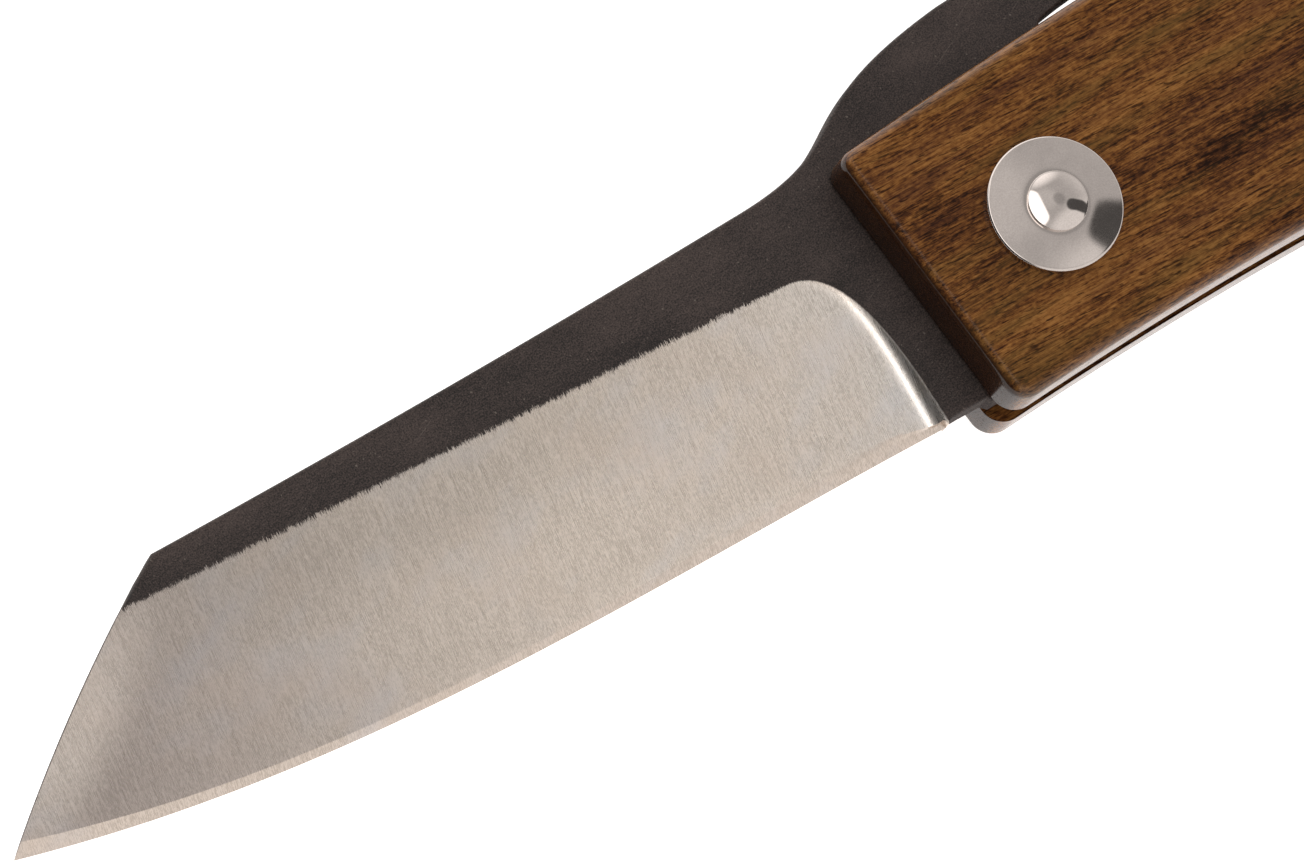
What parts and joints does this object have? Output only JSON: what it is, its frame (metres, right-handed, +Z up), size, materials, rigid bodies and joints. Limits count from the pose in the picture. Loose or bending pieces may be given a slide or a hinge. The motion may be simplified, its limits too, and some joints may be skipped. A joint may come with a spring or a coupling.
{
  "type": "folding pocket knife",
  "caption": "Friction folding knife with a clipped blade, a thumb lever on its tang and two wooden scales on a riveted pivot.",
  "frame": {"origin": "middle of the footprint of the opened knife lying on its back scale's side, at its lowest point", "axes": "+X along the knife from the point to the butt, +Y from the cutting edge to the back, +Z up out of the front scale"},
  "size_m": [0.1856, 0.028, 0.0141],
  "materials": {
    "blade_steel": "black forge scale over the flats, bright satin ground bevels",
    "scale_wood": "oiled and lacquered dark streaked hardwood",
    "washer_steel": "polished",
    "pin_steel": "satin",
    "spacer_steel": "satin",
    "friction_bronze": "dull"
  },
  "bodies": {
    "handle": {"front_scale": "scale_wood", "back_scale": "scale_wood", "back_spacer": "spacer_steel", "pivot_pin": "washer_steel", "front_pivot_washer": "washer_steel", "back_pivot_washer": "washer_steel", "front_friction_washer": "friction_bronze", "back_friction_washer": "friction_bronze", "front_spacer_pin": "pin_steel", "middle_spacer_pin": "pin_steel", "rear_spacer_pin": "pin_steel", "butt_pin": "pin_steel"},
    "blade": {"blade": "blade_steel"}
  },
  "joints": [
    {"name": "blade_pivot", "type": "hinge", "parent": "handle", "child": "blade", "pos_m": [-0.0052, -0.0032, 0.00707], "axis": [0, 0, 1], "range_deg": [0, 180]}
  ]
}
